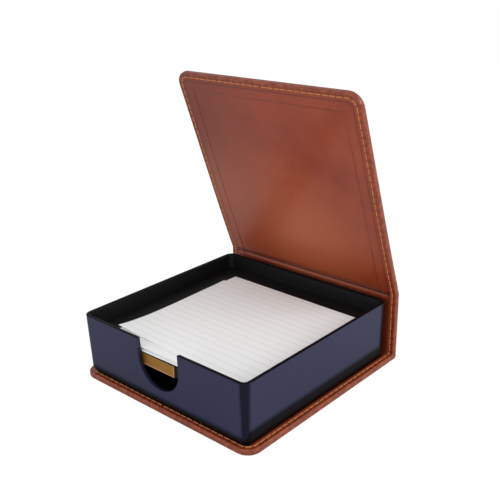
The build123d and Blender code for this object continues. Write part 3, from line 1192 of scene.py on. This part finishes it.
    def build(self, nodes: dict[str, Piece]) -> None:
        """Builds and dresses the skin, the seams and the boards.

        Args:
            nodes: the CAD nodes by name.
        """
        leather = CoatedLeather().material()
        thread = SewingThread().material()
        board = PlainSolid("binders_board_grey", "8a8379").material()
        sewing = stitching_tree()
        reach, way = self.blend_reach, self.lid_way()
        lower, upper = (Vector((0.0, self.crease_y, z)) for z in (self.lower_z, self.upper_z))
        back, up, along = (Vector(v) * reach for v in ((0.0, 1.0, 0.0), (0.0, 0.0, 1.0), (0.0, *way)))
        for half, bodies, bend, covered, sewn in (
            (
                Half.LOWER, ("base", "spine"), (lower - back, lower + up),
                ("base_leather", "base_lining", "lower_crease", "spine_lining"), ("base_stitching",),
            ),
            (
                Half.UPPER, ("spine", "lid"), (upper - up, upper + along),
                ("spine_leather", "lid_leather", "lid_lining", "upper_crease"),
                ("spine_stitching", "lid_stitching"),
            ),
        ):
            skin, seam = self.skin(half, leather), self.seam(half, sewing, thread)
            for piece, slot, replaced in ((skin, "cover_leather", covered), (seam, "seam_thread", sewn)):
                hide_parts(*replaced)
                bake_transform(piece)
            counts = len(skin.data.polygons), len(seam.data.polygons)
            LOG.info("cover, %s half: %d skin faces, %d seam faces", half.value, *counts)
        for name in ("base_board", "spine_board"):
            dress(nodes[name], board)
        stand_in(self.bowed_board(nodes["lid_board"], board), "cover_board", "lid", "lid_board")
        LOG.info("cover: three boards, the lid's bowed with its skin")


def stitching_tree() -> Tree:
    """Builds the tree that lays evenly spaced stitches along every line it is given, bent where it bends.

    Returns:
        The tree, with inputs for the number of stitches in a line, the thread's width and its material.
    """
    sockets = {"Lines": "Geometry", "Stitches": "Int", "Thread Width": "Float", "Thread": "Material"}
    tree, given = new_geometry_tree("lay_stitches", sockets, "Seam")
    # Ten short edges to a stitch: eight carry thread, and two are the gap where it dips through
    edges, last_thread = 10.0, 7.5
    curves = add_node(tree, "GeometryNodeMeshToCurve", inputs={"Mesh": given["Lines"]})
    points = {0: given["Stitches"], 1: edges, 2: 1.0}
    count = add_node(tree, "ShaderNodeMath", {"operation": "MULTIPLY_ADD"}, points)
    spaced = add_node(tree, "GeometryNodeResampleCurve", inputs={"Curve": curves, "Count": count})
    chain = add_node(tree, "GeometryNodeCurveToMesh", inputs={"Curve": spaced})
    index = add_node(tree, "GeometryNodeInputIndex")
    place = add_node(tree, "ShaderNodeMath", {"operation": "MODULO"}, {0: index, 1: edges})
    in_gap = add_node(tree, "ShaderNodeMath", {"operation": "GREATER_THAN"}, {0: place, 1: last_thread})
    dashes = add_node(
        tree, "GeometryNodeDeleteGeometry", {"domain": "EDGE", "mode": "EDGE_FACE"},
        {"Geometry": chain, "Selection": in_gap},
    )
    threads = add_node(tree, "GeometryNodeMeshToCurve", inputs={"Mesh": dashes})
    # The thread is full in the middle of a stitch and pinched at its ends
    along = add_node(tree, "GeometryNodeSplineParameter")
    end = add_node(tree, "ShaderNodeMath", {"operation": "MULTIPLY_ADD"}, {0: along, 1: 2.0, 2: -1.0})
    for _ in range(2):
        end = add_node(tree, "ShaderNodeMath", {"operation": "MULTIPLY"}, {0: end, 1: end})
    full = add_node(tree, "ShaderNodeMath", {"operation": "MULTIPLY_ADD"}, {0: end, 1: -0.7, 2: 1.0})
    shaped = add_node(tree, "GeometryNodeSetCurveRadius", inputs={"Curve": threads, "Radius": full})
    width = {0: given["Thread Width"], 1: 0.5}
    radius = add_node(tree, "ShaderNodeMath", {"operation": "MULTIPLY"}, width)
    section = add_node(tree, "GeometryNodeCurvePrimitiveCircle", inputs={"Resolution": 8, "Radius": radius})
    tubes = add_node(
        tree, "GeometryNodeCurveToMesh",
        inputs={"Curve": shaped, "Profile Curve": section, "Fill Caps": True},
    )
    thread = {"Geometry": tubes, "Material": given["Thread"]}
    dressed = add_node(tree, "GeometryNodeSetMaterial", inputs=thread)
    add_node(tree, "NodeGroupOutput", inputs={"Seam": dressed})
    return tree


# ---- Tray, shelf and notes ----


@dataclass
class NoteTray:
    """The navy moulded tray, its thin black insert, and the shelf with its brass plate. Sizes in mm."""

    plate_border: float = 0.75
    plate_shade: float = 0.6
    corner_radius: float = 5.0
    foot_dark: Pair = (2.9, 6.6)
    side_rise: float = 3.6
    rim_dark: Pair = (0.3, 0.15)
    back_dark: Pair = (6.8, 5.6)

    def mark_border(self, mesh: Mesh) -> None:
        """Marks the plate's raised border, so that its brass can take a painted highlight there.

        Args:
            mesh: the plate's mesh, which gets the attribute border.
        """
        low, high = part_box("label_plate")
        inset = self.plate_border * MM
        marks = []
        for face in mesh.polygons:
            inside = all(low[k] + inset < face.center[k] < high[k] - inset for k in (0, 2))
            marks.append(0.0 if inside else 1.0)
        mesh.attributes.new("border", "FLOAT", "FACE").data.foreach_set("value", marks)

    def build(self, nodes: dict[str, Piece]) -> None:
        """Gives the tray, insert, shelf and plate their finishes.

        Args:
            nodes: the CAD nodes by name.
        """
        low, high = (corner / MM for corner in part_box("tray_shell"))
        # Where the navy is painted near black, as its deep shade
        shade = DeepShade(
            foot=(low.z + self.foot_dark[0], low.z + self.foot_dark[1]),
            rim=(high.z - self.rim_dark[0], high.z - self.rim_dark[1]),
            back=(high.y - self.back_dark[0], high.y - self.back_dark[1]),
            flat=(high.x - self.corner_radius, (high.y - low.y) / 2 - self.corner_radius),
            middle_y=(high.y + low.y) / 2,
            side_rise=self.side_rise,
        )
        navy = MouldedPlastic("polystyrene_moulded_matt_navy", "1f2140", 0.38, 1.36, shade).material()
        black = MouldedPlastic("pvc_sheet_matt_black", "101012", 0.5, 1.3).material()
        brass = BrushedBrass(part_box("label_plate")[1].z / MM - self.plate_shade).material()
        foam = PlainSolid("bonding_foam_sheet_grey", "2a2a2c").material()
        shell, liner = ("tray_shell", navy, "tray_plastic"), ("tray_liner", black, "liner_plastic")
        for node, finish, slot in (shell, liner):
            stand_in(smooth_copy(nodes[node], f"{node}_smooth", finish), slot, "base", node)
        for name in ("shelf_supports", "note_shelf"):
            dress(nodes[name], black)
        dress(nodes["tray_adhesive"], foam)
        self.mark_border(nodes["label_plate"].data)
        dress(nodes["label_plate"], brass)
        LOG.info("tray: navy shell and black insert, shelf and plate dressed")


@dataclass(frozen=True)
class Slip:
    """One loose slip: which it is, how it lies turned and shifted, and its corner's lift. Sizes in mm."""

    which: str
    turn_deg: float
    shift: Pair
    lift: float


@dataclass
class NotePile:
    """The note slips: a small pile, and two loose ones that lie turned on top of it. Sizes in mm."""

    sheet: float = 95.0
    caliper: float = 0.13
    pile_sheets: int = 8
    pile_turn_deg: float = 1.0
    drift: float = 0.12
    turn_drift_deg: float = 0.35
    ream_seed: int = 7
    slips: tuple[Slip, ...] = (Slip("lower", 2.0, (1.1, 0.6), 2.2), Slip("top", -0.7, (0.0, 0.0), 1.9))
    slip_gap: float = 0.02
    lift_start: float = 0.15
    lift_width: float = 0.6
    curl_points: int = 25

    def pile_tree(self) -> Tree:
        """Builds the tree that stacks sheets, each a little out of line with the next.

        Returns:
            The tree, with inputs for the sheet's size, pitch, count, drift, turn, seed and paper.
        """
        sockets = {
            "Guide": "Geometry", "Sheets": "Int", "Pitch": "Float", "Size": "Float", "Caliper": "Float",
            "Drift": "Float", "Turn": "Float", "Seed": "Int", "Paper": "Material",
        }
        tree, given = new_geometry_tree("stack_sheets", sockets, "Pile")
        sides = {"X": given["Size"], "Y": given["Size"], "Z": given["Caliper"]}
        size = add_node(tree, "ShaderNodeCombineXYZ", inputs=sides)
        sheet = add_node(tree, "GeometryNodeMeshCube", inputs={"Size": size})
        rise = add_node(tree, "ShaderNodeCombineXYZ", inputs={"Z": given["Pitch"]})
        column = add_node(tree, "GeometryNodeMeshLine", inputs={"Count": given["Sheets"], "Offset": rise})
        low = add_node(tree, "ShaderNodeMath", {"operation": "MULTIPLY"}, {0: given["Drift"], 1: -1.0})
        least, most = (
            add_node(tree, "ShaderNodeCombineXYZ", inputs={"X": drift, "Y": drift})
            for drift in (low, given["Drift"])
        )
        drift = add_node(
            tree, "FunctionNodeRandomValue", {"data_type": "FLOAT_VECTOR"},
            {0: least, 1: most, "Seed": given["Seed"]},
        )
        strewn = add_node(tree, "GeometryNodeSetPosition", inputs={"Geometry": column, "Offset": drift})
        least, most = (
            add_node(
                tree, "ShaderNodeMath", {"operation": way},
                {0: given["Turn"], 1: math.radians(self.turn_drift_deg)},
            )
            for way in ("SUBTRACT", "ADD")
        )
        turn = add_node(
            tree, "FunctionNodeRandomValue", {"data_type": "FLOAT"},
            {2: least, 3: most, "Seed": given["Seed"]},
        )
        spin = add_node(tree, "ShaderNodeCombineXYZ", inputs={"Z": turn})
        laid = add_node(
            tree, "GeometryNodeInstanceOnPoints",
            inputs={"Points": strewn, "Instance": sheet, "Rotation": spin},
        )
        real = add_node(tree, "GeometryNodeRealizeInstances", inputs={"Geometry": laid})
        dressed = add_node(
            tree, "GeometryNodeSetMaterial", inputs={"Geometry": real, "Material": given["Paper"]}
        )
        add_node(tree, "NodeGroupOutput", inputs={"Pile": dressed})
        return tree

    def pile(self) -> Piece:
        """Builds the pile of slips under the two loose ones.

        Returns:
            The pile, as one plain mesh.
        """
        low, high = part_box("note_stack")
        centre = (low + high) / 2
        place = (centre.x / MM, centre.y / MM)
        paper = RuledPaper("writing_paper_pile", self.pile_turn_deg, place).material()
        piece = new_piece("note_pile", bpy.data.meshes.new("note_pile_guide"), paper)
        pitch = (high.z - low.z) / self.pile_sheets
        values = {
            "Sheets": self.pile_sheets, "Pitch": pitch, "Paper": paper, "Seed": self.ream_seed,
            "Size": self.sheet * MM, "Caliper": self.caliper * MM, "Drift": self.drift * MM,
            "Turn": math.radians(self.pile_turn_deg),
        }
        grow(piece, self.pile_tree(), values)
        piece.data.transform(Matrix.Translation((centre.x, centre.y, low.z + pitch / 2)))
        return piece

    def loose_slip(self, slip: Slip) -> Piece:
        """Builds one loose slip whose front left corner has curled up.

        Args:
            slip: the slip.

        Returns:
            The piece.
        """
        low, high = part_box(f"note_sheet_{slip.which}")
        middle = (low + high) / 2
        place = (middle.x / MM, middle.y / MM)
        paper = RuledPaper(f"writing_paper_{slip.which}_slip", slip.turn_deg, place).material()
        centre = middle + Vector((*slip.shift, 0.0)) * MM
        line = np.linspace(-0.5, 0.5, self.curl_points)
        across, back = np.meshgrid(line, line)
        forward = ramp(-back, (self.lift_start, 0.5 - self.lift_start))
        leftward = 1 - ramp(across, (-0.5, self.lift_width))
        curl = slip.lift * forward**2.5 * leftward**2
        turn = math.radians(slip.turn_deg)
        x = (across * math.cos(turn) - back * math.sin(turn)) * self.sheet * MM + centre.x
        y = (across * math.sin(turn) + back * math.cos(turn)) * self.sheet * MM + centre.y
        under = np.stack([x, y, low.z + (self.slip_gap + curl) * MM], axis=-1)
        over = under + np.array([0, 0, self.caliper * MM])
        name = f"note_slip_{slip.which}"
        return new_piece(name, closed_sheet(name, under, over), paper)

    def build(self) -> None:
        """Builds and places all the slips."""
        stand_in(self.pile(), "note_paper", "base", "note_stack")
        for slip in self.slips:
            stand_in(self.loose_slip(slip), "note_paper", "base", f"note_sheet_{slip.which}")
        LOG.info("notes: a pile of %d slips and %d loose ones", self.pile_sheets, len(self.slips))


# ---- Studio ----


@dataclass(frozen=True)
class SoftBox:
    """One soft box that faces the object: its name, its place and size in mm, and its power in watts."""

    name: str
    place: Place
    size: Pair
    power: float

    def hang(self, aim: Vector) -> None:
        """Hangs the soft box.

        Args:
            aim: the place that it faces, in metres.
        """
        data = bpy.data.lights.new(self.name, "AREA")
        data.shape = "RECTANGLE"
        data.size, data.size_y = self.size[0] * MM, self.size[1] * MM
        data.energy = self.power
        lamp = bpy.data.objects.new(self.name, data)
        bpy.context.scene.collection.objects.link(lamp)
        lamp.location = Vector(self.place) * MM
        lamp.rotation_euler = (aim - lamp.location).to_track_quat("-Z", "Y").to_euler()


@dataclass
class Studio:
    """A white table top under soft boxes, and the camera. Places in mm, angles in degrees."""

    azimuth: float = 41.902
    elevation: float = 21.072
    roll: float = -1.06
    distance: float = 432.53
    target: Place = (6.35, 1.3925, 73.839)
    focal_px: float = 792.28
    picture_px: float = 500.0
    sensor: float = 36.0
    floor_half: float = 9000.0
    aim: Place = (0.0, 0.0, 50.0)
    boxes: tuple[SoftBox, ...] = (
        SoftBox("key_right", (1000, 500, 700), (700, 700), 6.1),
        SoftBox("fill_left", (-800, -900, 300), (800, 500), 1.1),
        SoftBox("front_low", (500, -1400, 250), (900, 400), 4.7),
        SoftBox("right_low", (1400, -300, 250), (400, 900), 6.8),
        SoftBox("front_high", (200, -1000, 900), (900, 900), 3.4),
    )

    def camera(self) -> None:
        """Sets up the camera at the photograph's place."""
        a, e, r = (math.radians(v) for v in (self.azimuth, self.elevation, self.roll))
        back = Vector((math.sin(a) * math.cos(e), -math.cos(a) * math.cos(e), math.sin(e)))
        right = Vector((math.cos(a), math.sin(a), 0.0))
        up = back.cross(right)
        turned_right = math.cos(r) * right + math.sin(r) * up
        turned_up = -math.sin(r) * right + math.cos(r) * up
        place = Vector(self.target) * MM + back * self.distance * MM
        data = bpy.data.cameras.new("camera")
        data.sensor_width = self.sensor
        data.lens = self.focal_px / self.picture_px * self.sensor
        data.clip_start, data.clip_end = 0.01, 50.0
        camera = bpy.data.objects.new("camera", data)
        bpy.context.scene.collection.objects.link(camera)
        axes = Matrix((turned_right, turned_up, back)).transposed()
        camera.matrix_world = Matrix.Translation(place) @ axes.to_4x4()
        bpy.context.scene.camera = camera

    def floor(self) -> None:
        """Lays the white table top, which stays near white and keeps a soft shadow."""
        h = self.floor_half * MM
        mesh = bpy.data.meshes.new("floor")
        mesh.from_pydata([(-h, -h, 0), (h, -h, 0), (h, h, 0), (-h, h, 0)], [], [(0, 1, 2, 3)])
        material, tree = new_shader("table_top_matt_white")
        camera_ray = add_node(tree, "ShaderNodeLightPath").outputs["Is Camera Ray"]
        matt = add_node(tree, "ShaderNodeBsdfDiffuse", inputs={"Color": linear("e4e4e4")})
        glow = add_node(tree, "ShaderNodeEmission", inputs={"Color": WHITE, "Strength": 1.1})
        seen = add_node(tree, "ShaderNodeMath", {"operation": "MULTIPLY"}, {0: camera_ray, 1: 0.85})
        mixed = add_node(tree, "ShaderNodeMixShader", inputs={0: seen, 1: matt, 2: glow})
        add_node(tree, "ShaderNodeOutputMaterial", inputs={"Surface": mixed})
        new_piece("floor", mesh, material)

    def world(self) -> None:
        """Fills the room with even light, and shows white to the camera."""
        world = bpy.data.worlds.new("studio_room")
        bpy.context.scene.world = world
        world.use_nodes = True
        tree = world.node_tree
        tree.nodes.clear()
        # The side that the tray's near corner faces is dim, which darkens that rounded corner
        around = add_node(tree, "ShaderNodeTexCoord").outputs["Generated"]
        dim_side = {0: around, 1: (0.66, -0.73, 0.18)}
        facing = add_node(tree, "ShaderNodeVectorMath", {"operation": "DOT_PRODUCT"}, dim_side)
        level = add_node(
            tree, "ShaderNodeMapRange",
            inputs={"Value": facing, "From Min": 0.5, "From Max": 0.92, "To Min": 0.7, "To Max": 0.0},
        )
        room, white = (
            add_node(tree, "ShaderNodeBackground", inputs={"Color": WHITE, "Strength": strength})
            for strength in (level, 1.0)
        )
        path = add_node(tree, "ShaderNodeLightPath").outputs
        rays = {0: path["Is Camera Ray"], 1: path["Is Transmission Ray"]}
        seen = add_node(tree, "ShaderNodeMath", {"operation": "MAXIMUM"}, rays)
        mixed = add_node(tree, "ShaderNodeMixShader", inputs={0: seen, 1: room, 2: white})
        add_node(tree, "ShaderNodeOutputWorld", inputs={"Surface": mixed})

    def build(self) -> None:
        """Sets up the whole studio."""
        bpy.context.scene.view_settings.view_transform = "Standard"
        self.world()
        self.floor()
        for box in self.boxes:
            box.hang(Vector(self.aim) * MM)
        self.camera()
        LOG.info("studio: table top, %d soft boxes and camera", len(self.boxes))


def main() -> None:
    """Builds the memo pad holder's looks and its studio."""
    logging.basicConfig(level=logging.INFO, format="%(message)s")
    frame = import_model()
    nodes = frame["nodes"]

    BookCover().build(nodes)
    NoteTray().build(nodes)
    NotePile().build()
    Studio().build()


if __name__ == "__main__":
    main()
